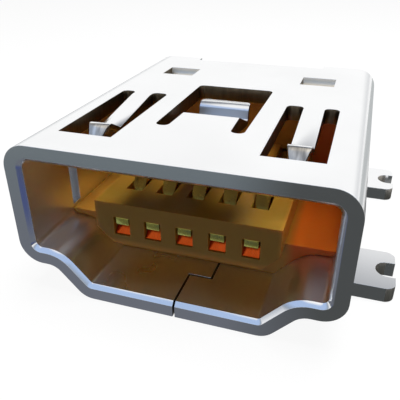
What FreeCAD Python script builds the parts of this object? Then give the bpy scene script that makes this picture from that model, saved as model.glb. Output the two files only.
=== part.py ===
import FreeCAD, Part

import os
import re

import Sketcher
from FreeCAD import Vector

# Mini-B receptacle for surface mounting: a folded sheet shell round a moulded
# housing whose tongue holds five spring contacts.
#
# Frame: X to the right as seen from the mouth, Y from the mouth to the back,
# Z up from the board. Inside each body Y starts at the mouth, and the body's
# Placement puts the whole part's centre over the origin. Lengths in mm.

SIZES = {
    # Folded shell, outside
    "shell_width": 7.7,
    "shell_height": 3.85,
    "shell_depth": 9.05,
    "sheet_thickness": 0.4,
    "shoulder_height": 0.78,
    "neck_width": 5.88,
    "bottom_width": 4.46,
    "top_bend": 0.2,
    "shoulder_bend": 0.15,
    "step_bend": 0.45,
    "bottom_bend": 0.1,
    "mouth_chamfer": 0.1,
    # Windows and springs in the top
    "side_window_place": 2.35,
    "side_window_width": 1.34,
    "side_window_front": 1.02,
    "side_window_rear": 4.5,
    "side_spring_place": 2.38,
    "side_spring_width": 0.53,
    "side_spring_dip": 2.35,
    "side_spring_drop": 0.27,
    "side_spring_crest": 1.8,
    "side_spring_tip": 1.42,
    "side_spring_tip_drop": 0.4,
    "side_spring_tip_width": 0.24,
    "spring_root": 0.3,
    "centre_window_width": 2.17,
    "centre_window_front": 2.1,
    "centre_window_rear": 5.65,
    "centre_spring_width": 1.52,
    "centre_spring_tip_width": 1.34,
    "centre_spring_bend": 3.15,
    "centre_spring_dip": 4.25,
    "centre_spring_drop": 0.47,
    "centre_spring_lean": 0.07,
    "centre_spring_lip": 0.33,
    "centre_spring_lip_drop": 0.08,
    "spring_thickness": 0.15,
    "spring_bend": 0.06,
    "slot_corner": 0.15,
    # Latch tabs, rear recess and side slots
    "latch_place": 2.19,
    "latch_width": 0.99,
    "latch_length": 0.85,
    "latch_setback": 1.6,
    "latch_drop": 0.25,
    "latch_gap": 0.03,
    "recess_width": 4.3,
    "recess_depth": 0.3,
    "side_slot_front": 1.85,
    "side_slot_length": 0.35,
    "side_slot_lift": 0.24,
    "side_slot_headroom": 0.65,
    # Solder legs
    "leg_span": 9.84,
    "leg_width": 1.6,
    "leg_relief": 0.1,
    "front_leg_place": 2.85,
    "leg_bend": 0.1,
    "leg_corner": 0.25,
    "notch_width": 0.62,
    "notch_depth": 0.48,
    "notch_corner": 0.3,
    # Seam of the folded sheet
    "seam_gap": 0.05,
    "seam_place": 0.08,
    "dovetail_reach": 0.57,
    "dovetail_start": 1.15,
    "dovetail_length": 1.5,
    "dovetail_spacing": 3.6,
    # Moulded housing
    "fit_clearance": 0.02,
    "shelf_front": 1.8,
    "shelf_height": 1.35,
    "cavity_depth": 5.9,
    "housing_setback": 0.1,
    "tongue_front": 1.02,
    "tongue_width": 4.56,
    "tongue_bottom": 1.05,
    "tongue_top": 2.16,
    "tongue_corner": 0.42,
    "bridge_length": 0.8,
    "window_bottom": 1.3,
    "window_top": 1.78,
    # Contacts
    "contact_count": 5,
    "contact_pitch": 0.8,
    "contact_width": 0.34,
    "contact_thickness": 0.2,
    "contact_clearance": 0.04,
    "contact_tip": 0.03,
    "contact_crest": 0.3,
    "contact_rise": 0.5,
    "contact_heel": 0.5,
    "contact_level": 1.9,
    "contact_bend": 0.08,
    "groove_depth": 0.5,
    "tail_window": 1.3,
    "tail_length": 0.75,
}

doc = FreeCAD.newDocument("mini_usb_socket")
sheet = doc.addObject("Spreadsheet::Sheet", "Sizes")


def fill_sheet():
    """Write each driving dimension as a plain number beside its name."""
    for row, (name, size) in enumerate(SIZES.items(), start=1):
        sheet.set("A%d" % row, name)
        sheet.set("B%d" % row, str(size))
        sheet.setAlias("B%d" % row, name)
    doc.recompute()


def number(expression):
    """Value of an expression on the driving dimensions."""
    return float(sheet.evalExpression(str(expression)))


def bound(expression):
    """The same expression as another object of the document reads it."""
    return re.sub(r"[a-z]+(?:_[a-z]+)+", lambda name: "Sizes." + name.group(0), str(expression))


def tie(feature, prop, expression):
    """Set a property of a feature from an expression on the sizes."""
    feature.setExpression(prop, bound(expression))


# Sizes that follow from the driving dimensions

STEP_ANGLE = "atan(2 * shoulder_height / (neck_width - bottom_width))"
OVERALL_DEPTH = "(shell_depth + tail_length - housing_setback - recess_depth)"
HOUSING_REAR = "(shell_depth - recess_depth - housing_setback)"
REAR_LEG_PLACE = "(shell_depth - leg_width / 2)"
TAIL_PLACE = "(shell_depth - tail_window)"
CENTRE_TIP = "(centre_spring_dip + centre_spring_lean + centre_spring_lip)"
LATCH_REAR = "(shell_depth - latch_setback)"
LATCH_FRONT = "(shell_depth - latch_setback - latch_length)"
SLOT_WIDTH = "(contact_width + 2 * contact_clearance)"
FIRST_CONTACT = "(-(contact_count - 1) / 2 * contact_pitch)"


def new_body(label):
    """An empty body, placed so that the part is centred over the origin."""
    body = doc.addObject("PartDesign::Body", label)
    body.Label = label
    tie(body, "Placement.Base.y", "-%s / 2" % OVERALL_DEPTH)
    return body


def sketch_on(body, name, role, offset="0"):
    """Sketch on an origin plane of the body, moved along the plane's normal."""
    sketch = body.newObject("Sketcher::SketchObject", name)
    plane = next(p for p in body.Origin.OriginFeatures if p.Role == role)
    sketch.AttachmentSupport = (plane, [""])
    sketch.MapMode = "FlatFace"
    tie(sketch, "AttachmentOffset.Base.z", offset)
    return sketch


def polyline(sketch, corners, closed=True):
    """Chain of straight lines whose corners are bound to expressions."""
    spots = [Vector(number(across), number(up), 0) for across, up in corners]
    count = len(spots) if closed else len(spots) - 1
    lines = []
    for start in range(count):
        end = (start + 1) % len(spots)
        lines.append(sketch.addGeometry(Part.LineSegment(spots[start], spots[end]), False))
    for place, line in enumerate(lines):
        if closed or place + 1 < count:
            following = lines[(place + 1) % count]
            sketch.addConstraint(Sketcher.Constraint("Coincident", line, 2, following, 1))
    for place, (corner, spot) in enumerate(zip(corners, spots)):
        line, end = (lines[place], 1) if place < count else (lines[-1], 2)
        for kind, expression, size in (("DistanceX", corner[0], spot.x), ("DistanceY", corner[1], spot.y)):
            index = sketch.addConstraint(Sketcher.Constraint(kind, -1, 1, line, end, size))
            sketch.setExpression("Constraints[%d]" % index, bound(expression))


def rectangle(sketch, left, right, low, high):
    """Closed rectangle between two pairs of expressions."""
    polyline(sketch, [(left, low), (right, low), (right, high), (left, high)])


def solid_from(body, kind, name, sketch, length, back=False, symmetric=False):
    """Pad or pocket a sketch by a bound length, and recompute."""
    feature = body.newObject("PartDesign::" + kind, name)
    feature.Profile = sketch
    tie(feature, "Length", length)
    feature.Reversed = back
    if symmetric:
        feature.SideType = "Symmetric"
    body.Tip = feature
    doc.recompute()
    return feature


def edges_where(feature, test):
    """Names of the feature's edges whose shape passes a test."""
    return ["Edge%d" % place for place, edge in enumerate(feature.Shape.Edges, start=1) if test(edge)]


def along(edge, axis):
    """Whether an edge is straight and runs along X, Y or Z."""
    if edge.Curve.TypeId != "Part::GeomLine":
        return False
    return abs(abs(edge.tangentAt(edge.FirstParameter)[axis]) - 1) < 1e-6


def near(edge, **place):
    """Whether the middle of an edge has the given coordinates."""
    middle = edge.CenterOfMass
    return all(abs(getattr(middle, axis) - value) < 1e-3 for axis, value in place.items())


def dress(body, kind, name, edges, size):
    """Fillet or chamfer the named edges of the body's tip."""
    base = body.Tip
    feature = body.newObject("PartDesign::" + kind, name)
    feature.Base = (base, edges)
    tie(feature, "Radius" if kind == "Fillet" else "Size", size)
    body.Tip = feature
    doc.recompute()
    return feature


def round_along(body, name, axis, spots, radius):
    """Fillet the straight edges along an axis that pass through the spots."""
    def chosen(edge):
        return along(edge, axis) and any(near(edge, **spot) for spot in spots)
    return dress(body, "Fillet", name, edges_where(body.Tip, chosen), radius)


def shell_section(inset):
    """Corners of the shell's section, right side up from the bottom, inset by a wall."""
    slant = "tan(%s / 2)" % STEP_ANGLE
    bottom = "bottom_width / 2 - (%s) * %s" % (inset, slant)
    neck = "neck_width / 2 - (%s) * %s" % (inset, slant)
    side = "shell_width / 2 - (%s)" % inset
    low = inset
    shoulder = "shoulder_height + (%s)" % inset
    high = "shell_height - (%s)" % inset
    right = [(bottom, low), (neck, shoulder), (side, shoulder), (side, high)]
    left = [("-(%s)" % across, up) for across, up in reversed(right)]
    return right + left


def round_section(body, name, inset, corner, radius):
    """Fillet one kind of corner of the section, left and right."""
    across, up = shell_section(inset)[corner]
    spots = [{"x": side * number(across), "z": number(up)} for side in (-1, 1)]
    round_along(body, name, 1, spots, radius)


BOTTOM, STEP, SHOULDER, TOP = range(4)


def bent_strip(body, name, place, width, thickness, spine, bend):
    """Strip of constant thickness that follows a bent line in a plane across X.

    The line's corners are (y, z) expressions. Each bend is rounded with the
    inside radius, and with that radius and the thickness outside."""
    start, level = spine[0]
    section = sketch_on(body, name + "_section", "XZ_Plane", "-(%s)" % start)
    half = "(%s) / 2" % width
    rectangle(section, "%s - %s" % (place, half), "%s + %s" % (place, half),
              "%s - %s / 2" % (level, thickness), "%s + %s / 2" % (level, thickness))
    line = sketch_on(body, name + "_line", "YZ_Plane", place)
    polyline(line, spine, closed=False)
    doc.recompute()
    strip = body.newObject("PartDesign::AdditivePipe", name)
    strip.Profile = section
    strip.Spine = (line, ["Edge%d" % (place + 1) for place in range(len(spine) - 1)])
    strip.Transition = "Right corner"
    body.Tip = strip
    doc.recompute()
    inner, outer = bend_corners([(number(y), number(z)) for y, z in spine], number(thickness))
    middle = number(place)
    for side, corners, radius in (("inner", inner, bend), ("outer", outer, "%s + %s" % (bend, thickness))):
        spots = [{"x": middle, "y": y, "z": z} for y, z in corners]
        round_along(body, "%s_%s_bends" % (name, side), 0, spots, radius)


def bend_corners(points, thickness):
    """Where the strip's faces meet at each bend: inside corners, then outside ones."""
    inner = []
    outer = []
    for before, at, after in zip(points, points[1:], points[2:]):
        first = Vector(at[0] - before[0], at[1] - before[1], 0).normalize()
        second = Vector(after[0] - at[0], after[1] - at[1], 0).normalize()
        turn = first.cross(second).z
        normal = Vector(-first.y - second.y, first.x + second.x, 0).normalize()
        if turn < 0:
            normal = -normal
        reach = thickness / 2 / normal.dot(Vector(-first.y, first.x, 0) * (1 if turn > 0 else -1))
        inner.append((at[0] + normal.x * reach, at[1] + normal.y * reach))
        outer.append((at[0] - normal.x * reach, at[1] - normal.y * reach))
    return inner, outer


def cut_top_openings(shell):
    """Spring windows, holes of the latch tabs and the recess in the rear edge."""
    plan = sketch_on(shell, "top_openings_plan", "XY_Plane", "shell_height")
    for side in ("-1", "1"):
        inner = "%s * (side_window_place - side_window_width / 2)" % side
        outer = "%s * (side_window_place + side_window_width / 2)" % side
        rectangle(plan, inner, outer, "side_window_front", "side_window_rear")
        latch_inner = "%s * (latch_place - latch_width / 2)" % side
        latch_outer = "%s * (latch_place + latch_width / 2)" % side
        rectangle(plan, latch_inner, latch_outer, LATCH_FRONT, LATCH_REAR)
    rectangle(plan, "-centre_window_width / 2", "centre_window_width / 2",
              "centre_window_front", "centre_window_rear")
    rectangle(plan, "-recess_width / 2", "recess_width / 2",
              "shell_depth - recess_depth", "shell_depth + recess_depth")
    solid_from(shell, "Pocket", "top_openings", plan, "sheet_thickness")


def across_x(body, name, place, width, outline):
    """Pad an outline drawn as seen from the right, centred on a place along X."""
    view = sketch_on(body, name + "_view", "YZ_Plane", place)
    polyline(view, outline)
    return solid_from(body, "Pad", name, view, width, symmetric=True)


def side_spring_outline():
    """Side spring from its root forward: down to a dip, up to a crest and down to its tip."""
    top = [
        ("side_spring_dip", "shell_height - side_spring_drop"),
        ("side_spring_crest", "shell_height + spring_bend / 2"),
        ("side_spring_tip", "shell_height - side_spring_tip_drop"),
    ]
    under = [(place, level + " - spring_thickness") for place, level in reversed(top)]
    return [
        ("side_window_rear", "shell_height"),
        ("side_window_rear - spring_root", "shell_height"),
        *top,
        *under,
        ("side_window_rear - spring_root", "shell_height - sheet_thickness"),
        ("side_window_rear", "shell_height - sheet_thickness"),
    ]


def centre_spring_outline():
    """Centre spring from its root back: level, sloping down, then up and over into a lip."""
    dip = "shell_height - centre_spring_drop"
    lip = "shell_height - centre_spring_lip_drop"
    rise = "centre_spring_dip + centre_spring_lean"
    return [
        ("centre_window_front", "shell_height"),
        ("centre_spring_bend", "shell_height"),
        ("centre_spring_dip", dip),
        (rise, lip),
        (CENTRE_TIP, lip),
        (CENTRE_TIP, lip + " - spring_thickness"),
        (rise + " + spring_thickness", lip + " - spring_thickness"),
        ("centre_spring_dip + spring_thickness", dip + " - spring_thickness"),
        ("centre_spring_bend", "shell_height - sheet_thickness"),
        ("centre_window_front", "shell_height - sheet_thickness"),
    ]


def add_springs(shell):
    """Side springs that reach forward, a centre spring that reaches back and the latch tabs."""
    side_outline = side_spring_outline()
    centre_outline = centre_spring_outline()
    for name, side in (("left_spring", "-"), ("right_spring", "")):
        across_x(shell, name, side + "side_spring_place", "side_spring_width", side_outline)
    across_x(shell, "centre_spring", "0", "centre_spring_width", centre_outline)
    for name, side in (("left_latch", "-"), ("right_latch", "")):
        across_x(shell, name, side + "latch_place", "latch_width - 2 * latch_gap", latch_outline())
    narrow_springs(shell)
    round_slot_ends(shell)
    inner = side_outline[2:3] + side_outline[6:7] + centre_outline[2:3] + centre_outline[6:7]
    outer = side_outline[3:4] + side_outline[7:8] + centre_outline[1:2] + centre_outline[3:4] + centre_outline[7:8]
    for name, corners, radius in (("spring_inner_bends", inner, "spring_bend"),
                                  ("spring_outer_bends", outer, "spring_bend + spring_thickness")):
        spots = [{"y": number(y), "z": number(z)} for y, z in corners]
        round_along(shell, name, 0, spots, radius)
    tips = [{"x": side * number("centre_spring_tip_width / 2"), "y": number(CENTRE_TIP)} for side in (-1, 1)]
    round_along(shell, "centre_spring_corners", 2, tips, "slot_corner")


def narrow_springs(shell):
    """Taper the centre spring along its length and the side springs below their crests."""
    plan = sketch_on(shell, "spring_tapers_plan", "XY_Plane", "shell_height + spring_thickness")
    for edge in ("-", "+"):
        for side in ("-", ""):
            taper(plan, side + "side_spring_place", edge, "side_spring_width", "side_spring_tip_width",
                  "side_spring_crest", "side_spring_tip", "-")
        taper(plan, "0", edge, "centre_spring_width", "centre_spring_tip_width",
              "centre_window_front", CENTRE_TIP, "+")
    solid_from(shell, "Pocket", "spring_tapers", plan, "2 * sheet_thickness + 2 * spring_thickness")


def taper(plan, place, edge, root_width, tip_width, root, tip, ahead):
    """Strip to cut from one long edge of a spring between its root and its tip."""
    outside = "%s %s (%s / 2 + spring_thickness)" % (place, edge, root_width)
    end = "%s %s spring_thickness" % (tip, ahead)
    polyline(plan, [
        ("%s %s %s / 2" % (place, edge, root_width), root),
        ("%s %s %s / 2" % (place, edge, tip_width), tip),
        ("%s %s %s / 2" % (place, edge, tip_width), end),
        (outside, end),
        (outside, "%s %s spring_thickness" % (root, ahead)),
    ])


def latch_outline():
    """Latch tab cut on three sides and bent down towards the back."""
    end = "%s - latch_gap" % LATCH_REAR
    return [
        (LATCH_FRONT, "shell_height"),
        (end, "shell_height - latch_drop"),
        (end, "shell_height - latch_drop - sheet_thickness"),
        (LATCH_FRONT, "shell_height - sheet_thickness"),
    ]


def round_slot_ends(shell):
    """Round the closed ends of the slots beside the springs."""
    spots = []
    for side in (-1, 1):
        rear = number("side_window_rear")
        for across in ("side_window_place - side_window_width / 2", "side_spring_place - side_spring_width / 2",
                       "side_spring_place + side_spring_width / 2", "side_window_place + side_window_width / 2"):
            spots.append({"x": side * number(across), "y": rear})
        front = number("centre_window_front")
        for across in ("centre_window_width / 2", "centre_spring_width / 2"):
            spots.append({"x": side * number(across), "y": front})
        spots.append({"x": side * number("centre_window_width / 2"), "y": number("centre_window_rear")})
    round_along(shell, "slot_ends", 2, spots, "slot_corner")


def add_legs(shell):
    """Four solder legs: strips of the side walls, turned out flat on the board."""
    side = "shell_width / 2"
    reach = "leg_span / 2"
    foot = "shoulder_height + sheet_thickness + shoulder_bend"
    for name, place in (("front_legs", "front_leg_place"), ("rear_legs", REAR_LEG_PLACE)):
        front = "%s - leg_width / 2" % place
        relief = sketch_on(shell, name + "_relief_section", "XZ_Plane", "-(%s - leg_relief)" % front)
        outline = sketch_on(shell, name + "_section", "XZ_Plane", "-(%s)" % front)
        for sign in ("-1", "1"):
            polyline(relief, [
                ("%s * (neck_width / 2 - sheet_thickness)" % sign, "-sheet_thickness"),
                ("%s * (%s + sheet_thickness)" % (sign, side), "-sheet_thickness"),
                ("%s * (%s + sheet_thickness)" % (sign, side), foot),
                ("%s * (bottom_width / 2 - sheet_thickness)" % sign, foot),
                ("%s * (bottom_width / 2 - sheet_thickness)" % sign, "shoulder_height"),
                ("%s * (neck_width / 2 - sheet_thickness)" % sign, "sheet_thickness / 2"),
            ])
            polyline(outline, [
                ("%s * (%s - sheet_thickness)" % (sign, side), "0"),
                ("%s * %s" % (sign, reach), "0"),
                ("%s * %s" % (sign, reach), "sheet_thickness"),
                ("%s * %s" % (sign, side), "sheet_thickness"),
                ("%s * %s" % (sign, side), foot + " + sheet_thickness / 4"),
                ("%s * (%s - sheet_thickness)" % (sign, side), foot + " + sheet_thickness / 4"),
            ])
        solid_from(shell, "Pocket", name + "_relief", relief, "leg_width + 2 * leg_relief")
        solid_from(shell, "Pad", name, outline, "leg_width", back=True)


def shape_legs(shell):
    """Bend radii, solder notches and rounded prongs of the legs."""
    side = number("shell_width / 2")
    wall = number("sheet_thickness")
    reach = number("leg_span / 2")
    inner_bends = [{"x": sign * side, "z": wall} for sign in (-1, 1)]
    round_along(shell, "leg_inner_bends", 1, inner_bends, "leg_bend")
    outer_bends = [{"x": sign * (side - wall), "z": 0} for sign in (-1, 1)]
    round_along(shell, "leg_outer_bends", 1, outer_bends, "leg_bend + sheet_thickness")
    ends = []
    plan = sketch_on(shell, "leg_notches_plan", "XY_Plane", "sheet_thickness")
    for place in ("front_leg_place", REAR_LEG_PLACE):
        for sign in ("-1", "1"):
            root = "%s * (leg_span / 2 - notch_depth + notch_width / 2)" % sign
            polyline(plan, notch_outline(root, sign, place))
            for edge in ("-", "+"):
                ends.append({"x": int(sign) * reach, "y": number("%s %s leg_width / 2" % (place, edge))})
    solid_from(shell, "Pocket", "leg_notches", plan, "2 * sheet_thickness")
    corners = []
    for place in ("front_leg_place", REAR_LEG_PLACE):
        for sign in (-1, 1):
            for edge in ("-", "+"):
                corners.append({"x": sign * number("leg_span / 2 - notch_depth"),
                                "y": number("%s %s notch_width / 2" % (place, edge))})
    round_along(shell, "notch_ends", 2, corners, "notch_corner")
    round_along(shell, "prong_corners", 2, ends, "leg_corner")


def notch_outline(root, sign, place):
    """Open-ended slot in the end of one leg."""
    inside = "%s * (leg_span / 2 - notch_depth)" % sign
    outside = "%s * (leg_span / 2 + notch_depth)" % sign
    front = "%s - notch_width / 2" % place
    back = "%s + notch_width / 2" % place
    return [(inside, front), (outside, front), (outside, back), (inside, back)]


def cut_seam(shell):
    """Gap where the sheet's two ends meet, stepped sideways round each dovetail."""
    start = "-sheet_thickness"
    end = "shell_depth"
    line = [("seam_place", start)]
    for order in range(2):
        near_end = "dovetail_start + %d * dovetail_spacing" % order
        far_end = "%s + dovetail_length" % near_end
        line += [("seam_place", near_end), ("seam_place + dovetail_reach", near_end),
                 ("seam_place + dovetail_reach", far_end), ("seam_place", far_end)]
    line.append(("seam_place", end))
    steps = [(number(x), number(y)) for x, y in line]
    left = []
    right = []
    for place, (x, y) in enumerate(line):
        before = steps[max(place - 1, 0)]
        after = steps[min(place + 1, len(steps) - 1)]
        here = steps[place]
        way_x = (after[0] > here[0]) - (after[0] < here[0]) + (here[0] > before[0]) - (here[0] < before[0])
        way_y = (after[1] > here[1]) - (after[1] < here[1]) + (here[1] > before[1]) - (here[1] < before[1])
        way_y = max(-1, min(1, way_y))
        way_x = max(-1, min(1, way_x))
        left.append(("%s - %d * seam_gap / 2" % (x, way_y), "%s + %d * seam_gap / 2" % (y, way_x)))
        right.append(("%s + %d * seam_gap / 2" % (x, way_y), "%s - %d * seam_gap / 2" % (y, way_x)))
    plan = sketch_on(shell, "seam_plan", "XY_Plane", "sheet_thickness")
    polyline(plan, left + right[::-1])
    solid_from(shell, "Pocket", "seam", plan, "2 * sheet_thickness")


def make_shell():
    """Folded and formed sheet: tube section, windows, springs, legs and seam."""
    shell = new_body("shell")
    outside = sketch_on(shell, "outer_section", "XZ_Plane")
    polyline(outside, shell_section("0"))
    solid_from(shell, "Pad", "tube", outside, "shell_depth", back=True)
    round_section(shell, "outer_top_bends", "0", TOP, "top_bend + sheet_thickness")
    round_section(shell, "outer_shoulder_bends", "0", SHOULDER, "shoulder_bend + sheet_thickness")
    round_section(shell, "outer_step_bends", "0", STEP, "step_bend")
    round_section(shell, "outer_bottom_bends", "0", BOTTOM, "bottom_bend + sheet_thickness")
    inside = sketch_on(shell, "inner_section", "XZ_Plane")
    polyline(inside, shell_section("sheet_thickness"))
    solid_from(shell, "Pocket", "bore", inside, "shell_depth")
    round_section(shell, "inner_top_bends", "sheet_thickness", TOP, "top_bend")
    round_section(shell, "inner_shoulder_bends", "sheet_thickness", SHOULDER, "shoulder_bend")
    round_section(shell, "inner_step_bends", "sheet_thickness", STEP, "step_bend + sheet_thickness")
    round_section(shell, "inner_bottom_bends", "sheet_thickness", BOTTOM, "bottom_bend")
    chamfer_mouth(shell)
    cut_top_openings(shell)
    add_springs(shell)
    cut_side_slots(shell)
    cut_tail_window(shell)
    add_legs(shell)
    shape_legs(shell)
    cut_seam(shell)
    return shell


def chamfer_mouth(shell):
    """Lead-in round the inner edge of the mouth."""
    wall = number("sheet_thickness")
    half = number("shell_width / 2")
    high = number("shell_height")

    def on_inner_edge(edge):
        box = edge.BoundBox
        if box.YMax > 1e-6:
            return False
        return box.XMin > -half + wall / 2 and box.XMax < half - wall / 2 and \
            box.ZMin > wall / 2 and box.ZMax < high - wall / 2 and inside_section(edge.CenterOfMass)

    dress(shell, "Chamfer", "mouth_lead_in", edges_where(shell.Tip, on_inner_edge), "mouth_chamfer")


def inside_section(point):
    """Whether a point at the mouth lies on the bore's side of the sheet's middle."""
    middle = [(number(x), number(z)) for x, z in shell_section("sheet_thickness / 2")]
    face = Part.Face(Part.makePolygon([Vector(x, 0, z) for x, z in middle + middle[:1]]))
    return face.isInside(Vector(point.x, 0, point.z), 1e-6, True)


def cut_side_slots(shell):
    """Narrow upright slot through each side wall, near the mouth."""
    view = sketch_on(shell, "side_slots_view", "YZ_Plane")
    low = "shoulder_height + sheet_thickness + side_slot_lift"
    high = "shell_height - side_slot_headroom"
    rectangle(view, "side_slot_front", "side_slot_front + side_slot_length", low, high)
    solid_from(shell, "Pocket", "side_slots", view, "2 * shell_width", symmetric=True)


def cut_tail_window(shell):
    """Opening in the bottom's rear, where the contacts' tails come out."""
    high = "shoulder_height + sheet_thickness"
    plan = sketch_on(shell, "tail_window_plan", "XY_Plane", high)
    rectangle(plan, "-neck_width / 2", "neck_width / 2", TAIL_PLACE, "shell_depth + sheet_thickness")
    solid_from(shell, "Pocket", "tail_opening", plan, high + " + sheet_thickness")


def make_housing():
    """Moulded insulator: shelf and rear block in the shell's section, with the tongue."""
    housing = new_body("housing")
    wall = "sheet_thickness + fit_clearance"
    section = sketch_on(housing, "block_section", "XZ_Plane", "-shelf_front")
    polyline(section, shell_section(wall))
    solid_from(housing, "Pad", "block", section, "%s - shelf_front" % HOUSING_REAR, back=True)
    round_section(housing, "block_top_corners", wall, TOP, "top_bend")
    round_section(housing, "block_shoulder_corners", wall, SHOULDER, "shoulder_bend")
    round_section(housing, "block_step_corners", wall, STEP, "step_bend + sheet_thickness + fit_clearance")
    round_section(housing, "block_bottom_corners", wall, BOTTOM, "bottom_bend")
    cavity = sketch_on(housing, "cavity_section", "XZ_Plane", "-shelf_front")
    rectangle(cavity, "-shell_width / 2", "shell_width / 2", "shelf_height", "shell_height")
    solid_from(housing, "Pocket", "cavity", cavity, "cavity_depth - shelf_front")
    add_tongue(housing)
    cut_latch_pockets(housing)
    cut_contact_seats(housing)
    return housing


def add_tongue(housing):
    """Tongue that carries the contacts, its lower corners bevelled."""
    section = sketch_on(housing, "tongue_section", "XZ_Plane", "-tongue_front")
    half = "tongue_width / 2"
    polyline(section, [
        ("-%s + tongue_corner" % half, "tongue_bottom"),
        ("%s - tongue_corner" % half, "tongue_bottom"),
        (half, "tongue_bottom + tongue_corner"),
        (half, "tongue_top"),
        ("-" + half, "tongue_top"),
        ("-" + half, "tongue_bottom + tongue_corner"),
    ])
    solid_from(housing, "Pad", "tongue", section, "cavity_depth - tongue_front", back=True)


def cut_latch_pockets(housing):
    """Pockets that take the shell's two latch tabs."""
    top = "shell_height - sheet_thickness - fit_clearance"
    plan = sketch_on(housing, "latch_pocket_plan", "XY_Plane", top)
    for side in ("-1", "1"):
        inner = "%s * (latch_place - latch_width / 2 - latch_gap)" % side
        outer = "%s * (latch_place + latch_width / 2 + latch_gap)" % side
        rectangle(plan, inner, outer, LATCH_FRONT + " - latch_gap", LATCH_REAR + " + latch_gap")
    solid_from(housing, "Pocket", "latch_pockets", plan, "latch_drop + fit_clearance")


def cut_contact_seats(housing):
    """Window, slot, channel and rear groove of the first contact, repeated at the pitch."""
    left = "%s - %s / 2" % (FIRST_CONTACT, SLOT_WIDTH)
    right = "%s + %s / 2" % (FIRST_CONTACT, SLOT_WIDTH)
    half = "(contact_thickness / 2 + contact_clearance)"
    window = sketch_on(housing, "window_section", "XZ_Plane", "-tongue_front")
    rectangle(window, left, right, "window_bottom", "window_top")
    cuts = [solid_from(housing, "Pocket", "window", window, "cavity_depth - tongue_front")]
    slot = sketch_on(housing, "slot_plan", "XY_Plane", "tongue_top")
    rectangle(slot, left, right, "tongue_front + bridge_length", "cavity_depth")
    cuts.append(solid_from(housing, "Pocket", "slot", slot, "tongue_top - window_bottom"))
    channel = sketch_on(housing, "channel_section", "XZ_Plane", "-cavity_depth")
    rectangle(channel, left, right, "contact_level - %s" % half, "contact_level + %s" % half)
    cuts.append(solid_from(housing, "Pocket", "channel", channel, "%s - cavity_depth" % HOUSING_REAR))
    groove = sketch_on(housing, "groove_section", "XZ_Plane", "-(%s - groove_depth)" % HOUSING_REAR)
    rectangle(groove, left, right, "0", "contact_level + %s" % half)
    cuts.append(solid_from(housing, "Pocket", "groove", groove, "groove_depth"))
    row = housing.newObject("PartDesign::LinearPattern", "contact_seats")
    row.Originals = cuts
    row.Direction = (next(a for a in housing.Origin.OriginFeatures if a.Role == "X_Axis"), [""])
    tie(row, "Length", "(contact_count - 1) * contact_pitch")
    tie(row, "Occurrences", "contact_count")
    housing.Tip = row
    doc.recompute()


def make_contact(order):
    """Stamped contact: tip under the bridge, spring crest, rear leg and solder tail."""
    contact = new_body("contact_%d" % (order + 1))
    tie(contact, "Placement.Base.x", "%s + %d * contact_pitch" % (FIRST_CONTACT, order))
    half = "contact_thickness / 2"
    rest = "window_top - %s - fit_clearance / 2" % half
    rise = "tongue_front + bridge_length + contact_thickness / 2"
    back = "%s - groove_depth + contact_clearance + %s" % (HOUSING_REAR, half)
    line = [
        ("tongue_front + contact_tip", rest),
        (rise, rest),
        ("%s + contact_rise" % rise, "tongue_top + contact_crest - %s" % half),
        ("cavity_depth - contact_heel", "contact_level"),
        (back, "contact_level"),
        (back, half),
        (OVERALL_DEPTH, half),
    ]
    bent_strip(contact, "strip", "0", "contact_width", "contact_thickness", line, "contact_bend")
    return contact


def check(objects):
    """Stop with a plain message where the document holds a failed shape."""
    for item in doc.Objects:
        if "Invalid" in item.State or "Error" in item.State:
            raise RuntimeError("%s did not recompute" % item.Name)
    for item in objects:
        if item.Shape.isNull() or not item.Shape.isValid():
            raise RuntimeError("%s has no valid shape" % item.Label)


def main():
    fill_sheet()
    pieces = [make_shell(), make_housing()]
    pieces += [make_contact(order) for order in range(int(number("contact_count")))]
    doc.recompute()
    check(pieces)
    os.makedirs("parts", exist_ok=True)
    for piece in pieces:
        piece.Shape.exportStep("parts/%s.step" % piece.Label)
        print(piece.Label, len(piece.Shape.Solids), "solid,", round(piece.Shape.Volume, 4), "cubic mm")


main()
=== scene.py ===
"""Looks for the mini USB socket, over its fixed frame."""

import math

import bpy
from mathutils import Matrix, Vector


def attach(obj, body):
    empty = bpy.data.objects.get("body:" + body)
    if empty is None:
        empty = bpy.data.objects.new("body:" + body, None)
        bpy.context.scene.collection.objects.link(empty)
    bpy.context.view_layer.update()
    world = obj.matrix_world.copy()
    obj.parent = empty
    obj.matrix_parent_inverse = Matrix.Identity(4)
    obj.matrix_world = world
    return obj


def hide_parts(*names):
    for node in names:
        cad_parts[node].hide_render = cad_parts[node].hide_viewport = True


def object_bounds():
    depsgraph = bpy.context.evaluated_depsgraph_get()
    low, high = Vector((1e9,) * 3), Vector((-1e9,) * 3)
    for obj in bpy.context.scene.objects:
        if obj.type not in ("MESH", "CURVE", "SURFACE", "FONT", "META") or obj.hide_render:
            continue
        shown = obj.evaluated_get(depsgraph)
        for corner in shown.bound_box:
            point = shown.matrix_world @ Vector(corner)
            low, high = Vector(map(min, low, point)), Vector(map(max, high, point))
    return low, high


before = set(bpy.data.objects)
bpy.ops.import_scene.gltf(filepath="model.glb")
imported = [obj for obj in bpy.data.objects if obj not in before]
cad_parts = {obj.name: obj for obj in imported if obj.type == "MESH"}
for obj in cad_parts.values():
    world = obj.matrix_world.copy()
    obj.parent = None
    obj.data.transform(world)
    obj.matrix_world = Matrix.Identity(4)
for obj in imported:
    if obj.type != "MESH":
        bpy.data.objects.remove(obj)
CAD_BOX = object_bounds()

bl_info = {
    "name": "Mini USB socket",
    "version": (1, 0, 0),
    "blender": (4, 5, 0),
    "location": "View3D > Sidebar > Socket",
    "description": "Finishes the socket's shell, housing and contacts and sets up its studio",
    "category": "Object",
}

MM = 0.001
WHITE = (1, 1, 1)
CONTACT_NODES = sorted(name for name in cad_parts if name.startswith("contact_"))


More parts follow.
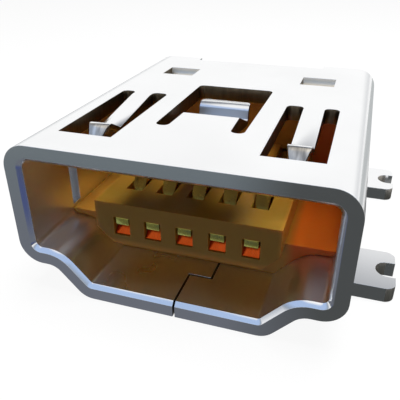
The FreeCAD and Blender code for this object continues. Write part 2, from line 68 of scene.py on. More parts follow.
class SocketShell(bpy.types.PropertyGroup):
    plating: bpy.props.FloatVectorProperty(
        name="Plating", description="Colour of the shell's bright plating",
        subtype="COLOR", size=3, min=0, max=1, default=(0.96, 0.965, 0.97))
    # Painted shade: the dark brown of the cut faces stands for the dark interior they mirror;
    # the marks across them are their own
    cut_edge_shade: bpy.props.FloatVectorProperty(
        name="Cut edge shade", description="Dark colour painted as shade on the sheet's sheared edges",
        subtype="COLOR", size=3, min=0, max=1, default=(0.2, 0.155, 0.1))
    # Partly painted reflection: the bright ribs and dark grooves stand for the banded
    # reflections on curved cut faces, beside their own shear marks
    rib_highlight: bpy.props.FloatVectorProperty(
        name="Rib highlight", description="Colour of the bright ribs on plated sheared faces, with painted highlights",
        subtype="COLOR", size=3, min=0, max=1, default=(0.98, 0.91, 0.8))
    groove_shade: bpy.props.FloatVectorProperty(
        name="Groove shade", description="Painted shade between those ribs",
        subtype="COLOR", size=3, min=0, max=1, default=(0.36, 0.335, 0.3))
    roughness: bpy.props.FloatProperty(
        name="Roughness", description="How much the plating blurs what it mirrors",
        subtype="FACTOR", min=0, max=1, default=0.12)
    # Painted shade: a darker copy of the plating, for the side slots and the centre spring's
    # front faces, which are also rougher
    shaded_plating: bpy.props.FloatVectorProperty(
        name="Shaded plating", description="Darker plating colour in the side slots and on the centre spring's front, as painted shade",
        subtype="COLOR", size=3, min=0, max=1, default=(0.56, 0.57, 0.58))
    latch: bpy.props.FloatVectorProperty(
        name="Latch plating", description="Warmer colour of the plating in the latch holes",
        subtype="COLOR", size=3, min=0, max=1, default=(1.0, 0.9, 0.74))
    satin: bpy.props.FloatProperty(
        name="Satin", description="How much the plating inside the shell blurs what it mirrors",
        subtype="FACTOR", min=0, max=1, default=0.32)
    edge_radius: bpy.props.FloatProperty(
        name="Edge radius", description="Rounding of the sheet's sheared edges",
        subtype="DISTANCE", unit="LENGTH", min=0, default=0.015 * MM)


class SocketHousing(bpy.types.PropertyGroup):
    plastic: bpy.props.FloatVectorProperty(
        name="Plastic", description="Colour of the moulded housing",
        subtype="COLOR", size=3, min=0, max=1, default=(0.57, 0.255, 0.032))
    # Painted shade: the housing's middle front is drawn browner, to stand for the shade it lies
    # in
    tongue_shade: bpy.props.FloatVectorProperty(
        name="Tongue shade", description="Browner colour painted as shade on the housing's middle front",
        subtype="COLOR", size=3, min=0, max=1, default=(0.32, 0.17, 0.018))
    # Painted light: the shelf's right end is drawn redder, to stand for the light that falls on
    # it through the window above
    shelf_light: bpy.props.FloatVectorProperty(
        name="Shelf light", description="Redder colour painted as light on the shelf's right end",
        subtype="COLOR", size=3, min=0, max=1, default=(0.66, 0.13, 0.01))
    roughness: bpy.props.FloatProperty(
        name="Roughness", description="Gloss of the moulded faces",
        subtype="FACTOR", min=0, max=1, default=0.4)
    cloudiness: bpy.props.FloatProperty(
        name="Cloudiness",
        description="Share of the light that goes into the plastic and out beside",
        subtype="FACTOR", min=0, max=1, default=0.35)
    light_depth: bpy.props.FloatProperty(
        name="Light depth", description="How far light goes through the plastic",
        subtype="DISTANCE", unit="LENGTH", min=0, default=0.4 * MM)
    press_fit: bpy.props.FloatVectorProperty(
        name="Press fit", description="Swelling of the moulding until it fills the shell",
        subtype="XYZ", size=3, default=(1.005, 1.0, 1.011))
    edge_radius: bpy.props.FloatProperty(
        name="Edge radius", description="Rounding of the moulding's edges",
        subtype="DISTANCE", unit="LENGTH", min=0, default=0.008 * MM)


class SocketContacts(bpy.types.PropertyGroup):
    gold: bpy.props.FloatVectorProperty(
        name="Gold", description="Colour of the contacts' plating",
        subtype="COLOR", size=3, min=0, max=1, default=(0.68, 0.62, 0.14))
    roughness: bpy.props.FloatProperty(
        name="Roughness", description="How much the contacts blur what they mirror",
        subtype="FACTOR", min=0, max=1, default=0.24)
    # Painted shade: the crests are drawn browner, to stand for the shade they lie in
    crest_shade: bpy.props.FloatVectorProperty(
        name="Crest shade", description="Browner colour painted as shade on the crests",
        subtype="COLOR", size=3, min=0, max=1, default=(0.5, 0.29, 0.05))
    # Painted light: this red and the three sizes after it make patches that stand for the lit
    # plastic glowing through the windows below the contacts
    window_glow: bpy.props.FloatVectorProperty(
        name="Window glow", description="Red painted light below the contacts' tips, in the windows",
        subtype="COLOR", size=3, min=0, max=1, default=(0.98, 0.11, 0.012))
    glow_width: bpy.props.FloatProperty(
        name="Glow width", description="Width of the painted light below a contact's tip",
        subtype="DISTANCE", unit="LENGTH", min=0, default=0.4 * MM)
    glow_height: bpy.props.FloatProperty(
        name="Glow height", description="Height of the painted light below a contact's tip",
        subtype="DISTANCE", unit="LENGTH", min=0, default=0.27 * MM)
    glow_lean: bpy.props.FloatProperty(
        name="Glow lean", description="How far the painted light below a contact's tip leans back",
        subtype="ANGLE", unit="ROTATION", default=math.radians(40))
    edge_radius: bpy.props.FloatProperty(
        name="Edge radius", description="Rounding of the contacts' edges",
        subtype="DISTANCE", unit="LENGTH", min=0, default=0.012 * MM)


class SocketStage(bpy.types.PropertyGroup):
    camera_place: bpy.props.FloatVectorProperty(
        name="Camera", description="Place of the camera",
        subtype="TRANSLATION", unit="LENGTH", size=3,
        default=(3.426 * MM, -12.809 * MM, 7.845 * MM))
    camera_turn: bpy.props.FloatVectorProperty(
        name="Camera turn", description="Pan to the left, tilt down and roll of the camera",
        subtype="EULER", unit="ROTATION", size=3, default=(0.3198, 0.4984, -0.0042))
    focal_length: bpy.props.FloatProperty(
        name="Focal length", description="Focal length of the camera",
        subtype="DISTANCE_CAMERA", unit="CAMERA", default=44.38)
    floor_size: bpy.props.FloatProperty(
        name="Floor size", description="Side of the square floor",
        subtype="DISTANCE", unit="LENGTH", default=2.0)
    floor_colour: bpy.props.FloatVectorProperty(
        name="Floor", description="Colour of the floor's paper, which takes light and shadow",
        subtype="COLOR", size=3, min=0, max=1, default=(0.3, 0.3, 0.3))
    floor_glow: bpy.props.FloatProperty(
        name="Floor glow", description="Brightness that the floor is seen with",
        min=0, default=1.23)
    glow_share: bpy.props.FloatProperty(
        name="Glow share", description="Share of that glow in the seen floor, beside its paper",
        subtype="FACTOR", min=0, max=1, default=0.75)
    sky_light: bpy.props.FloatProperty(
        name="Sky light", description="Strength of the soft light from all round",
        min=0, default=0.3)
    low_light: bpy.props.FloatVectorProperty(
        name="Low light", description="Colour of the soft light near the horizon",
        subtype="COLOR", size=3, min=0, max=1, default=(0.1, 0.1, 0.11))
    front_horizon: bpy.props.FloatVectorProperty(
        name="Front, horizon", description="What metal mirrors at the horizon in front",
        subtype="COLOR", size=3, min=0, max=1, default=(0.9, 0.9, 0.92))
    front_low: bpy.props.FloatVectorProperty(
        name="Front, low", description="What metal mirrors low above the front",
        subtype="COLOR", size=3, min=0, max=1, default=(0.3, 0.35, 0.42))
    front_high: bpy.props.FloatVectorProperty(
        name="Front, high", description="Blue that faces turned up and forward mirror",
        subtype="COLOR", size=3, min=0, max=1, default=(0.41, 0.54, 0.8))
    back_high: bpy.props.FloatVectorProperty(
        name="Back, high", description="What metal mirrors high above the back",
        subtype="COLOR", size=3, min=0, max=1, default=(0.1, 0.12, 0.16))
    back_horizon: bpy.props.FloatVectorProperty(
        name="Back, horizon", description="What metal mirrors at the horizon behind",
        subtype="COLOR", size=3, min=0, max=1, default=(0.75, 0.76, 0.77))
    lamp_place: bpy.props.FloatVectorProperty(
        name="Softbox", description="Place of the softbox, which points at the socket",
        subtype="TRANSLATION", unit="LENGTH", size=3, default=(6 * MM, 6 * MM, 50 * MM))
    lamp_size: bpy.props.FloatProperty(
        name="Softbox size", description="Diameter of the softbox",
        subtype="DISTANCE", unit="LENGTH", default=40 * MM)
    lamp_power: bpy.props.FloatProperty(
        name="Softbox power", description="Power of the softbox",
        unit="POWER", min=0, default=0.04)
    card_size: bpy.props.FloatProperty(
        name="Card size", description="Side of the dark card under the socket",
        subtype="DISTANCE", unit="LENGTH", default=80 * MM)
    card_far: bpy.props.FloatVectorProperty(
        name="Card ahead", description="Colour of the card well in front of the mouth",
        subtype="COLOR", size=3, min=0, max=1, default=(0.145, 0.17, 0.185))
    card_near: bpy.props.FloatVectorProperty(
        name="Card", description="Colour of the card at the socket",
        subtype="COLOR", size=3, min=0, max=1, default=(0.14, 0.15, 0.18))
    card_back: bpy.props.FloatVectorProperty(
        name="Card behind", description="Colour of the card behind the socket",
        subtype="COLOR", size=3, min=0, max=1, default=(0.5, 0.52, 0.525))
    card_blue: bpy.props.FloatVectorProperty(
        name="Blue card", description="Colour of the blue patch ahead of the mouth's left half",
        subtype="COLOR", size=3, min=0, max=1, default=(0.065, 0.085, 0.2))
    blue_place: bpy.props.FloatVectorProperty(
        name="Blue patch", description="Middle of the blue patch on the card",
        subtype="TRANSLATION", unit="LENGTH", size=3, default=(0.3 * MM, -8.2 * MM, 0))
    card_right: bpy.props.FloatVectorProperty(
        name="Card to the right", description="Colour of the card to the right of the mouth",
        subtype="COLOR", size=3, min=0, max=1, default=(0.068, 0.073, 0.074))


def add_node(tree, kind, **settings):
    """New node, with what its settings are changed to."""
    node = tree.nodes.new(kind)
    for name, value in settings.items():
        setattr(node, name, value)
    return node


def is_output(value):
    """Whether a value comes from another node."""
    return isinstance(value, bpy.types.NodeSocket)


def calculate(tree, operation, first, second=None, **settings):
    """Result of a math node on one or two outputs."""
    node = add_node(tree, "ShaderNodeMath", operation=operation, **settings)
    tree.links.new(first, node.inputs[0])
    if second is not None:
        tree.links.new(second, node.inputs[1])
    return node.outputs["Value"]


def product(tree, value, *others):
    """Product of 0 to 1 values: 1 where all of them are."""
    for other in others:
        value = calculate(tree, "MULTIPLY", value, other)
    return value


def object_place(tree):
    """The piece's own coordinates."""
    return add_node(tree, "ShaderNodeTexCoord").outputs["Object"]


def split(tree, vector):
    """A vector's X, Y and Z."""
    node = add_node(tree, "ShaderNodeSeparateXYZ")
    tree.links.new(vector, node.inputs["Vector"])
    return node.outputs["X"], node.outputs["Y"], node.outputs["Z"]


def distance(tree, place, spot):
    """How far a place is from a fixed spot."""
    node = add_node(tree, "ShaderNodeVectorMath", operation="DISTANCE")
    tree.links.new(place, node.inputs[0])
    node.inputs[1].default_value = spot
    return node.outputs["Value"]


def map_range(tree, source, start, end, low, high):
    """Map a value from one range to another."""
    node = add_node(tree, "ShaderNodeMapRange")
    node.inputs["From Min"].default_value = start
    node.inputs["From Max"].default_value = end
    node.inputs["To Min"].default_value = low
    node.inputs["To Max"].default_value = high
    tree.links.new(source, node.inputs["Value"])
    return node.outputs["Result"]


def rising(tree, source, span):
    """0 to 1 over a span in mm."""
    start, end = span
    return map_range(tree, source, start * MM, end * MM, 0, 1)


def falling(tree, source, span):
    """1 to 0 over a span in mm."""
    start, end = span
    return map_range(tree, source, start * MM, end * MM, 1, 0)


def tint(tree, share, first, second):
    """Blend two colours, fixed or from a node, by a 0 to 1 value."""
    node = add_node(tree, "ShaderNodeMix", data_type="RGBA")
    tree.links.new(share, node.inputs["Factor"])
    for name, colour in (("A", first), ("B", second)):
        if is_output(colour):
            tree.links.new(colour, node.inputs[name])
        else:
            node.inputs[name].default_value = (*colour, 1)
    return node.outputs["Result"]


def mix_shaders(tree, share, first, second):
    """Blend two shaders by a 0 to 1 value, fixed or from a node."""
    node = add_node(tree, "ShaderNodeMixShader")
    if is_output(share):
        tree.links.new(share, node.inputs["Fac"])
    else:
        node.inputs["Fac"].default_value = share
    tree.links.new(first, node.inputs[1])
    tree.links.new(second, node.inputs[2])
    return node.outputs["Shader"]


USUAL_NOISE = (0.3, 0.7)


def surface_noise(tree, scale, detail=3.0, stretch=(1, 1, 1)):
    """Noise in the piece's own coordinates, stretched along its axes."""
    mapping = add_node(tree, "ShaderNodeMapping")
    mapping.inputs["Scale"].default_value = stretch
    noise = add_node(tree, "ShaderNodeTexNoise")
    noise.inputs["Scale"].default_value = scale
    noise.inputs["Detail"].default_value = detail
    tree.links.new(object_place(tree), mapping.inputs["Vector"])
    tree.links.new(mapping.outputs["Vector"], noise.inputs["Vector"])
    return noise.outputs["Fac"]


def spread(tree, noise, low, high):
    """Map a noise's usual values to a range."""
    return map_range(tree, noise, *USUAL_NOISE, low, high)


def mottle(tree, noise, colour, shade):
    """Colour that falls to a share of itself where the noise is high."""
    return tint(tree, spread(tree, noise, 0.0, 1.0), colour, [shade * value for value in colour])


def relief(tree, shader, source, height, strength):
    """Fine bumps on the shader's normal."""
    bump = add_node(tree, "ShaderNodeBump")
    bump.inputs["Distance"].default_value = height
    bump.inputs["Strength"].default_value = strength
    tree.links.new(source, bump.inputs["Height"])
    tree.links.new(bump.outputs["Normal"], shader.inputs["Normal"])


def fresh_material(name):
    """Node material with an empty tree."""
    material = bpy.data.materials.new(name)
    material.use_nodes = True
    material.node_tree.nodes.clear()
    return material


def show(tree, shader):
    """Put a shader on the material's surface."""
    output = add_node(tree, "ShaderNodeOutputMaterial")
    tree.links.new(shader, output.inputs["Surface"])


def principled(name, metallic):
    """Node material with its tree and its Principled shader."""
    material = fresh_material(name)
    tree = material.node_tree
    shader = add_node(tree, "ShaderNodeBsdfPrincipled")
    shader.inputs["Metallic"].default_value = metallic
    show(tree, shader.outputs["BSDF"])
    return material, tree, shader


def coat(tree, shader, colour, roughness):
    """Give the shader a colour and a roughness that nodes work out."""
    tree.links.new(colour, shader.inputs["Base Color"])
    tree.links.new(roughness, shader.inputs["Roughness"])


# Fine marks of rolling and shearing: how many to the metre, and how rich; on the spring tips and
# notches they also lay out painted reflection bands
MARKS = {"scale": 9000.0, "detail": 2.0}
DULL_ROUGHNESS = 0.5


def plating(name, colour, roughness):
    """Plating on the sheet's faces, with faint clouds and rolling marks."""
    material, tree, shader = principled(name, metallic=1.0)
    cloud = surface_noise(tree, scale=420.0)
    coat(tree, shader, mottle(tree, cloud, colour, shade=0.96),
         spread(tree, cloud, roughness * 0.8, roughness * 1.25))
    marks = surface_noise(tree, **MARKS, stretch=(1.0, 0.06, 1.0))
    relief(tree, shader, marks, height=0.002 * MM, strength=0.12)
    return material


def sheared(name, first, second, stretch):
    """Sheared faces of the sheet, duller, with marks through its thickness; the two colours it
    is given carry painted shade, and painted highlights too on the spring tips and notches.
    """
    material, tree, shader = principled(name, metallic=1.0)
    marks = surface_noise(tree, **MARKS, stretch=stretch)
    coat(tree, shader, tint(tree, spread(tree, marks, 0.0, 1.0), first, second),
         spread(tree, marks, 0.3, 0.42))
    relief(tree, shader, marks, height=0.003 * MM, strength=0.25)
    return material


def shell_finishes(settings):
    """The shell's six materials, in the order of its material slots; three of them carry painted
    shade and painted reflections.
    """
    # Dark brown cut faces: painted shade for the dark interior they mirror
    cut_shade = settings.cut_edge_shade
    dark_cut_shade = [0.7 * value for value in cut_shade]
    return [
        plating("bright_plating", settings.plating, settings.roughness),
        plating("satin_plating", settings.plating, settings.satin),
        sheared("sheared_marks_and_shade", cut_shade, dark_cut_shade, stretch=(1.0, 1.0, 0.15)),
        # Ribs and grooves: painted reflection bands beside the shear marks
        sheared("ribbed_plating_and_reflections", settings.rib_highlight, settings.groove_shade, stretch=(1.0, 0.3, 0.1)),
        # Darker plating: painted shade, on rougher faces
        plating("dull_shaded_plating", settings.shaded_plating, DULL_ROUGHNESS),
        plating("latch_plating", settings.latch, settings.satin),
    ]


# Where the housing turns browner at its middle front as painted shade and redder at the shelf's
# right end as painted light, and the contacts browner at their crests as painted shade: spans of
# the change in mm
TONGUE_SHADE_SIDE = (2.2, 2.35)
TONGUE_SHADE_DEPTH = (-3.0, -1.2)
TONGUE_SHADE_UNDERSIDE = (1.05, 1.2)
LIT_SHELF_SIDE = (2.25, 2.5)
LIT_SHELF_DEPTH = (1.0, 2.0)
CREST_SHADE_HEIGHT = (1.95, 2.1)
PLASTIC_IOR = 1.4
# How far red, green and blue light go through the plastic, to the light depth
LIGHT_REACH = (1.0, 0.3, 0.1)


def moulded_plastic(settings):
    """Glossy orange moulding, a little cloudy below its skin, with painted shade on its middle
    front and painted light on the shelf's right end.
    """
    material, tree, shader = principled("moulded_plastic", metallic=0.0)
    cloud = surface_noise(tree, scale=900.0)
    colour = mottle(tree, cloud, settings.plastic, shade=0.85)
    x, y, z = split(tree, object_place(tree))
    # Painted shade: browner on the housing's middle front, where little light reaches
    blade_shade = product(tree, falling(tree, calculate(tree, "ABSOLUTE", x), TONGUE_SHADE_SIDE),
                    falling(tree, y, TONGUE_SHADE_DEPTH), rising(tree, z, TONGUE_SHADE_UNDERSIDE))
    colour = tint(tree, blade_shade, colour, settings.tongue_shade)
    # Painted light: redder at the shelf's right end, under the window
    shelf_light_mask = product(tree, rising(tree, x, LIT_SHELF_SIDE), falling(tree, y, LIT_SHELF_DEPTH))
    colour = tint(tree, shelf_light_mask, colour, settings.shelf_light)
    grain = surface_noise(tree, scale=11000.0)
    coat(tree, shader, colour,
         spread(tree, grain, settings.roughness * 0.85, settings.roughness * 1.2))
    shader.inputs["IOR"].default_value = PLASTIC_IOR
    shader.inputs["Subsurface Weight"].default_value = settings.cloudiness
    shader.inputs["Subsurface Radius"].default_value = LIGHT_REACH
    shader.inputs["Subsurface Scale"].default_value = settings.light_depth
    relief(tree, shader, grain, height=0.002 * MM, strength=0.15)
    return material


def gold_plating(settings):
    """Gold on the contacts, worn a little unevenly, with painted shade that makes their crests
    browner.
    """
    material, tree, shader = principled("gold_plating", metallic=1.0)
    cloud = surface_noise(tree, scale=2500.0)
    colour = mottle(tree, cloud, settings.gold, shade=0.88)
    _, _, z = split(tree, object_place(tree))
    # Painted shade: browner at the crests
    coat(tree, shader, tint(tree, rising(tree, z, CREST_SHADE_HEIGHT), colour, settings.crest_shade),
         spread(tree, cloud, settings.roughness * 0.8, settings.roughness * 1.3))
    return material


def painted_window_glow(settings):
    """Red metal below the contacts' tips: painted light, standing for the lit plastic that glows
    through the windows.
    """
    material, tree, shader = principled("painted_window_glow", metallic=1.0)
    marks = surface_noise(tree, **MARKS, stretch=(1.0, 0.3, 0.3))
    coat(tree, shader, mottle(tree, marks, settings.window_glow, shade=0.85),
         spread(tree, marks, 0.2, 0.3))
    return material


MERGE_DISTANCE = 1e-6
FLAT_ANGLE = math.radians(0.5)
EDGE_ANGLE = math.radians(40)
EDGE_SEGMENTS = 2
LARGE_FACES_WIN = 100


def deselect_all():
    """Leave edit mode and select nothing."""
    if bpy.context.object and bpy.context.object.mode != "OBJECT":
        bpy.ops.object.mode_set(mode="OBJECT")
    bpy.ops.object.select_all(action="DESELECT")


def merged_copy(node, name):
    """Copy of a frame node with its loose triangles merged into whole faces."""
    piece = bpy.data.objects.new(name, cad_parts[node].data.copy())
    piece.data.name = name
    piece.data.materials.clear()
    bpy.context.scene.collection.objects.link(piece)
    deselect_all()
    piece.select_set(True)
    bpy.context.view_layer.objects.active = piece
    bpy.ops.object.mode_set(mode="EDIT")
    bpy.ops.mesh.select_all(action="SELECT")
    bpy.ops.mesh.remove_doubles(threshold=MERGE_DISTANCE)
    bpy.ops.mesh.customdata_custom_splitnormals_clear()
    bpy.ops.mesh.dissolve_limited(angle_limit=FLAT_ANGLE)
    bpy.ops.object.mode_set(mode="OBJECT")
    return piece


def round_edges(piece, radius):
    """Round the edges of the active piece, and shade its flat faces flat."""
    bevel = piece.modifiers.new("rounded_edges", "BEVEL")
    bevel.width = radius
    bevel.segments = EDGE_SEGMENTS
    bevel.limit_method = "ANGLE"
    bevel.angle_limit = EDGE_ANGLE
    bevel.use_clamp_overlap = True
    bpy.ops.object.modifier_apply(modifier=bevel.name)
    bpy.ops.object.shade_smooth()
    shading = piece.modifiers.new("flat_faces", "WEIGHTED_NORMAL")
    shading.weight = LARGE_FACES_WIN
    shading.keep_sharp = False
    bpy.ops.object.modifier_apply(modifier=shading.name)


def stand_for(piece, node):
    """The piece takes the place of its frame node and of the node's finish."""
    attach(piece, "root")
    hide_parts(node)


def up_to(limit):
    """Span that ends at a limit."""
    return (-math.inf, limit)


def over(limit):
    """Span that begins at a limit."""
    return (limit, math.inf)


BRIGHT, SATIN, SHEARED, RIBBED_REFLECTIONS, DULL_SHADED, LATCH = range(6)
# Zones of the shell in mm: aside from its middle, behind the mouth's plane, above the board and
# below the top
ZONES = {
    "latch_walls": {"aside": up_to(3.2), "behind": (7.3, 7.6), "below": up_to(0.43)},
    "side_slots": {"aside": over(3.4), "behind": (1.8, 2.25), "above": (1.4, 3.22)},
    "centre_spring": {"aside": up_to(0.8), "behind": (1.5, 4.7), "below": (0.01, 0.9)},
    "side_spring_tips": {"aside": (1.9, 2.85), "behind": (1.3, 1.95), "below": up_to(0.85)},
    "windows": {"aside": up_to(3.2), "behind": (0.5, 7.3), "below": up_to(0.43)},
    "seam": {"aside": up_to(1), "behind": over(0.05), "above": up_to(0.43)},
    "legs": {"aside": over(3.5), "behind": over(1.5), "above": up_to(1.2)},
    "leg_ends": {"aside": over(4.2)},
    "inside": {"aside": up_to(3.46), "behind": over(0.12), "above": (0.38, 3.46)},
}


def shell_finish(face):
    """Slot of the finish on a face of the shell, by where it is and how it is turned."""
    low, high = CAD_BOX
    place = {
        "aside": abs(face.center.x) / MM,
        "behind": (face.center.y - low.y) / MM,
        "above": face.center.z / MM,
        "below": high.z / MM - face.center.z / MM,
    }
    across, along, level = (abs(part) for part in face.normal)
    upright = level < 0.3

    def lies_in(zone):
        return all(start < place[way] < end for way, (start, end) in ZONES[zone].items())

    if lies_in("latch_walls") and upright:
        return LATCH
    # Painted shade: the side slots take the darker plating
    if lies_in("side_slots") and across < 0.3:
        return DULL_SHADED
    # Painted shade: the centre spring's front faces take the darker plating
    if lies_in("centre_spring") and (not upright or across < 0.5):
        return DULL_SHADED if along > 0.9 else SATIN
    # Painted reflection bands, beside shear marks, on the spring tips' front faces
    if lies_in("side_spring_tips") and face.normal.y < -0.25:
        return RIBBED_REFLECTIONS
    # Painted shade: the cut faces of the windows and seam take the dark brown cut-edge colour
    if (lies_in("windows") or lies_in("seam")) and upright:
        return SHEARED
    # Painted reflection bands, beside shear marks, on the curved faces of the legs' notches
    if lies_in("legs") and upright and across > 0.2 and (across < 0.8 or lies_in("leg_ends")):
        return RIBBED_REFLECTIONS
    if lies_in("inside"):
        return SATIN
    return BRIGHT


class SOCKET_OT_shell(bpy.types.Operator):
    """Finish the folded shell: rounded sheet edges, bright faces and sheared edges, with painted
    shade and painted reflections on its cut faces, slots and springs
    """
    bl_idname = "socket.shell"
    bl_label = "Shell"

    def execute(self, context):
        settings = context.scene.socket_shell
        shell = merged_copy("shell", "folded_shell")
        round_edges(shell, settings.edge_radius)
        for finish in shell_finishes(settings):
            shell.data.materials.append(finish)
        for face in shell.data.polygons:
            face.material_index = shell_finish(face)
        stand_for(shell, "shell")
        return {"FINISHED"}


class SOCKET_OT_housing(bpy.types.Operator):
    """Finish the moulded housing: press fit, rounded edges and glossy plastic with painted shade
    and painted light
    """
    bl_idname = "socket.housing"
    bl_label = "Housing"

    def execute(self, context):
        settings = context.scene.socket_housing
        housing = merged_copy("housing", "moulded_housing")
        middle = (CAD_BOX[0].z + CAD_BOX[1].z) / 2
        bpy.ops.object.mode_set(mode="EDIT")
        bpy.ops.mesh.select_all(action="SELECT")
        bpy.ops.transform.resize(value=settings.press_fit, center_override=(0, 0, middle))
        bpy.ops.object.mode_set(mode="OBJECT")
        round_edges(housing, settings.edge_radius)
        housing.data.materials.append(moulded_plastic(settings))
        stand_for(housing, "housing")
        return {"FINISHED"}


class SOCKET_OT_contacts(bpy.types.Operator):
    """Finish the contacts: rounded edges, gold plating with painted shade on the crests, and red
    patches of painted light in the windows
    """
    bl_idname = "socket.contacts"
    bl_label = "Contacts"

    def execute(self, context):
        settings = context.scene.socket_contacts
        gold = gold_plating(settings)
        window_glow = painted_window_glow(settings)
        for node in CONTACT_NODES:
            contact = merged_copy(node, "gold_" + node)
            spots = [corner.co.copy() for corner in contact.data.vertices]
            tip = min(spots, key=lambda spot: (spot.y, spot.z))
            middle = sum(spot.x for spot in spots) / len(spots)
            round_edges(contact, settings.edge_radius)
            contact.data.materials.append(gold)
            stand_for(contact, node)
            number = node[-1]
            # Painted light: a red patch below each contact's tip
            self.add_window_glow(settings, window_glow, "painted_glow_" + number, Vector((middle, tip.y, tip.z)))
        return {"FINISHED"}

    def add_window_glow(self, settings, window_glow, name, tip):
        """Red patch of painted light below a contact's tip, standing for the lit plastic seen
        through the window; it leans back from the tip to the window's lower edge.
        """
        deselect_all()
        rise = settings.glow_height / math.cos(settings.glow_lean)
        back = settings.glow_height * math.tan(settings.glow_lean)
        thick = settings.edge_radius * 2
        place = tip + Vector((0, back / 2 + thick, -settings.glow_height / 2))
        bpy.ops.mesh.primitive_cube_add(
            size=1, location=place, rotation=(-settings.glow_lean, 0, 0),
            scale=(settings.glow_width, thick, rise))
        end = bpy.context.object
        end.name = name
        end.data.name = name
        bpy.ops.object.transform_apply(location=True, rotation=True, scale=True)
        round_edges(end, settings.edge_radius / 3)
        end.data.materials.append(window_glow)
        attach(end, "root")


def camera_matrix(settings):
    """Camera axes from its pan to the left, tilt down and roll."""
    pan, tilt, roll = settings.camera_turn
    forward = Vector((
        -math.sin(pan) * math.cos(tilt), math.cos(pan) * math.cos(tilt), -math.sin(tilt)))
    level = Vector((math.cos(pan), math.sin(pan), 0))
    upright = level.cross(forward)
    right = math.cos(roll) * level + math.sin(roll) * upright
    up = -math.sin(roll) * level + math.cos(roll) * upright
    turn = Matrix((right, up, -forward)).transposed()
    return Matrix.Translation(settings.camera_place) @ turn.to_4x4()


def seen_and_lit(tree, seen, lit):
    """Shader that the camera, mirrors and clear things see as one, and other rays as another."""
    path = add_node(tree, "ShaderNodeLightPath")
    looked_at = calculate(
        tree, "MAXIMUM", path.outputs["Is Camera Ray"], path.outputs["Is Glossy Ray"])
    looked_at = calculate(tree, "MAXIMUM", looked_at, path.outputs["Is Transmission Ray"])
    return mix_shaders(tree, looked_at, lit, seen)


FLOOR_GAP = 0.01
CARD_GAP = 0.005
# The dark card's spans in mm: Y from its colour well ahead to that at the socket, X where the
# right-hand colour begins at those two places, and how far on that colour is full
CARD_AHEAD = (-12, -5)
CARD_SLANT = (-0.7, 1)
CARD_ASIDE = (0, 2.5)
# How far from its middle the blue patch fades, and Y where the colour behind comes in
BLUE_FADE = (1, 2.6)
CARD_BEHIND = (6, 10)
# The card's front part fades out around this middle
CARD_MIDDLE = (-2, -7, 0)
CARD_FADE = (12, 17)
# Heights of a direction between which the soft light brightens, and how far to both sides the
# front and back halves of the mirrored sky blend
LIGHT_RISE = (0.3, 0.8)
SKY_BLEND = 0.12
SENSOR_WIDTH = 36
CLIP_START = 1 * MM
CLIP_END = 10


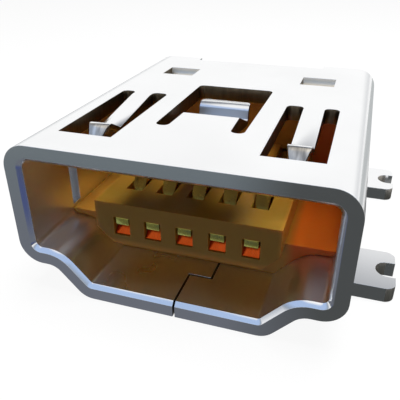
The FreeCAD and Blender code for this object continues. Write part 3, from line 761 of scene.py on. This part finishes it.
class SOCKET_OT_stage(bpy.types.Operator):
    """Set up the pale floor, the soft light and the camera"""
    bl_idname = "socket.stage"
    bl_label = "Stage"

    def execute(self, context):
        settings = context.scene.socket_stage
        self.build_floor(settings)
        self.build_card(settings)
        self.build_lamp(settings)
        self.build_sky(context.scene, settings)
        self.build_camera(context.scene, settings)
        context.scene.view_settings.view_transform = "Standard"
        return {"FINISHED"}

    def add_plane(self, name, size, gap):
        """Level square at a small gap in mm under the socket."""
        deselect_all()
        low, _ = CAD_BOX
        bpy.ops.mesh.primitive_plane_add(size=size, location=(0, 0, low.z - gap * MM))
        plane = bpy.context.object
        plane.name = name
        return plane

    def build_floor(self, settings):
        """Pale floor, seen bright but lit as paper, so that it keeps the socket's shadow."""
        floor = self.add_plane("floor", settings.floor_size, FLOOR_GAP)
        material = fresh_material("pale_floor")
        tree = material.node_tree
        paper = add_node(tree, "ShaderNodeBsdfDiffuse")
        paper.inputs["Color"].default_value = (*settings.floor_colour, 1)
        glow = add_node(tree, "ShaderNodeEmission")
        glow.inputs["Strength"].default_value = settings.floor_glow
        bright = mix_shaders(
            tree, settings.glow_share, paper.outputs["BSDF"], glow.outputs["Emission"])
        show(tree, seen_and_lit(tree, bright, paper.outputs["BSDF"]))
        floor.data.materials.append(material)

    def build_card(self, settings):
        """Dark card on the floor, seen only in the metal, as what upright faces mirror."""
        card = self.add_plane("dark_card", settings.card_size, CARD_GAP)
        card.visible_camera = False
        card.visible_diffuse = False
        card.visible_transmission = False
        card.visible_shadow = False
        material = fresh_material("dark_card")
        tree = material.node_tree
        place = object_place(tree)
        x, y, _ = split(tree, place)
        near = rising(tree, y, CARD_AHEAD)
        colour = tint(tree, near, settings.card_far, settings.card_near)
        ahead, beside = CARD_SLANT
        edge = map_range(tree, near, 0, 1, ahead * MM, beside * MM)
        aside = rising(tree, calculate(tree, "SUBTRACT", x, edge), CARD_ASIDE)
        colour = tint(tree, aside, colour, settings.card_right)
        patch = falling(tree, distance(tree, place, settings.blue_place), BLUE_FADE)
        colour = tint(tree, patch, colour, settings.card_blue)
        behind = rising(tree, y, CARD_BEHIND)
        colour = tint(tree, behind, colour, settings.card_back)
        middle = [part * MM for part in CARD_MIDDLE]
        fade = rising(tree, distance(tree, place, middle), CARD_FADE)
        bare = calculate(tree, "SUBTRACT", fade, behind, use_clamp=True)
        glow = add_node(tree, "ShaderNodeEmission")
        tree.links.new(colour, glow.inputs["Color"])
        clear = add_node(tree, "ShaderNodeBsdfTransparent")
        show(tree, mix_shaders(tree, bare, glow.outputs["Emission"], clear.outputs["BSDF"]))
        card.data.materials.append(material)

    def build_sky(self, scene, settings):
        """Soft light from all round, and the bands of colour that the metal mirrors."""
        world = bpy.data.worlds.new("studio")
        scene.world = world
        world.use_nodes = True
        tree = world.node_tree
        tree.nodes.clear()
        way = add_node(tree, "ShaderNodeTexCoord").outputs["Generated"]
        _, y, z = split(tree, way)
        lit = add_node(tree, "ShaderNodeBackground")
        overhead = map_range(tree, z, *LIGHT_RISE, 0, 1)
        tree.links.new(tint(tree, overhead, settings.low_light, WHITE), lit.inputs["Color"])
        lit.inputs["Strength"].default_value = settings.sky_light
        front = self.build_ramp(tree, z, [
            (0.05, settings.front_horizon),
            (0.25, settings.front_low),
            (0.5, settings.front_high),
            (0.78, settings.front_high),
            (0.86, WHITE),
        ])
        back = self.build_ramp(tree, z, [
            (0.0, settings.back_horizon),
            (0.05, settings.back_horizon),
            (0.18, WHITE),
            (0.5, WHITE),
            (0.65, settings.back_high),
            (0.85, settings.back_high),
            (0.97, WHITE),
        ])
        seen = add_node(tree, "ShaderNodeBackground")
        behind = map_range(tree, y, -SKY_BLEND, SKY_BLEND, 0, 1)
        tree.links.new(tint(tree, behind, front, back), seen.inputs["Color"])
        output = add_node(tree, "ShaderNodeOutputWorld")
        sky = seen_and_lit(tree, seen.outputs["Background"], lit.outputs["Background"])
        tree.links.new(sky, output.inputs["Surface"])

    def build_ramp(self, tree, height, stops):
        """Bands of colour by height above the horizon."""
        ramp = add_node(tree, "ShaderNodeValToRGB")
        colours = ramp.color_ramp.elements
        for place, _ in stops[len(colours):]:
            colours.new(place)
        for stop, (place, colour) in zip(colours, stops):
            stop.position = place
            stop.color = (*colour, 1)
        tree.links.new(height, ramp.inputs["Fac"])
        return ramp.outputs["Color"]

    def build_lamp(self, settings):
        """Softbox above the socket, which the metal doesn't mirror."""
        deselect_all()
        bpy.ops.object.light_add(type="AREA", location=settings.lamp_place)
        lamp = bpy.context.object
        lamp.name = "softbox"
        lamp.data.shape = "DISK"
        lamp.data.size = settings.lamp_size
        lamp.data.energy = settings.lamp_power
        lamp.visible_glossy = False
        aim = (-Vector(settings.lamp_place)).to_track_quat("-Z", "Y")
        lamp.rotation_euler = aim.to_euler()

    def build_camera(self, scene, settings):
        """Camera that was fitted to points in the photo."""
        bpy.ops.object.camera_add()
        camera = bpy.context.object
        camera.name = "photo_camera"
        camera.matrix_world = camera_matrix(settings)
        camera.data.sensor_width = SENSOR_WIDTH
        camera.data.lens = settings.focal_length
        camera.data.clip_start = CLIP_START
        camera.data.clip_end = CLIP_END
        scene.camera = camera


class SOCKET_PT_panel(bpy.types.Panel):
    """Steps that finish the socket"""
    bl_idname = "SOCKET_PT_panel"
    bl_label = "Mini USB socket"
    bl_space_type = "VIEW_3D"
    bl_region_type = "UI"
    bl_category = "Socket"

    def draw(self, context):
        scene = context.scene
        for title, settings, operator in STEPS:
            box = self.layout.box()
            box.label(text=title)
            for name in getattr(scene, settings).__annotations__:
                box.prop(getattr(scene, settings), name)
            box.operator(operator)


STEPS = [
    ("Shell", "socket_shell", "socket.shell"),
    ("Housing", "socket_housing", "socket.housing"),
    ("Contacts", "socket_contacts", "socket.contacts"),
    ("Stage", "socket_stage", "socket.stage"),
]
SETTINGS = {
    "socket_shell": SocketShell,
    "socket_housing": SocketHousing,
    "socket_contacts": SocketContacts,
    "socket_stage": SocketStage,
}
CLASSES = [
    *SETTINGS.values(),
    SOCKET_OT_shell,
    SOCKET_OT_housing,
    SOCKET_OT_contacts,
    SOCKET_OT_stage,
    SOCKET_PT_panel,
]


def register():
    for item in CLASSES:
        bpy.utils.register_class(item)
    for name, group in SETTINGS.items():
        setattr(bpy.types.Scene, name, bpy.props.PointerProperty(type=group))


def unregister():
    for name in SETTINGS:
        delattr(bpy.types.Scene, name)
    for item in reversed(CLASSES):
        bpy.utils.unregister_class(item)


def main():
    register()
    bpy.ops.socket.stage()
    bpy.ops.socket.shell()
    bpy.ops.socket.housing()
    bpy.ops.socket.contacts()


if __name__ == "__main__":
    main()
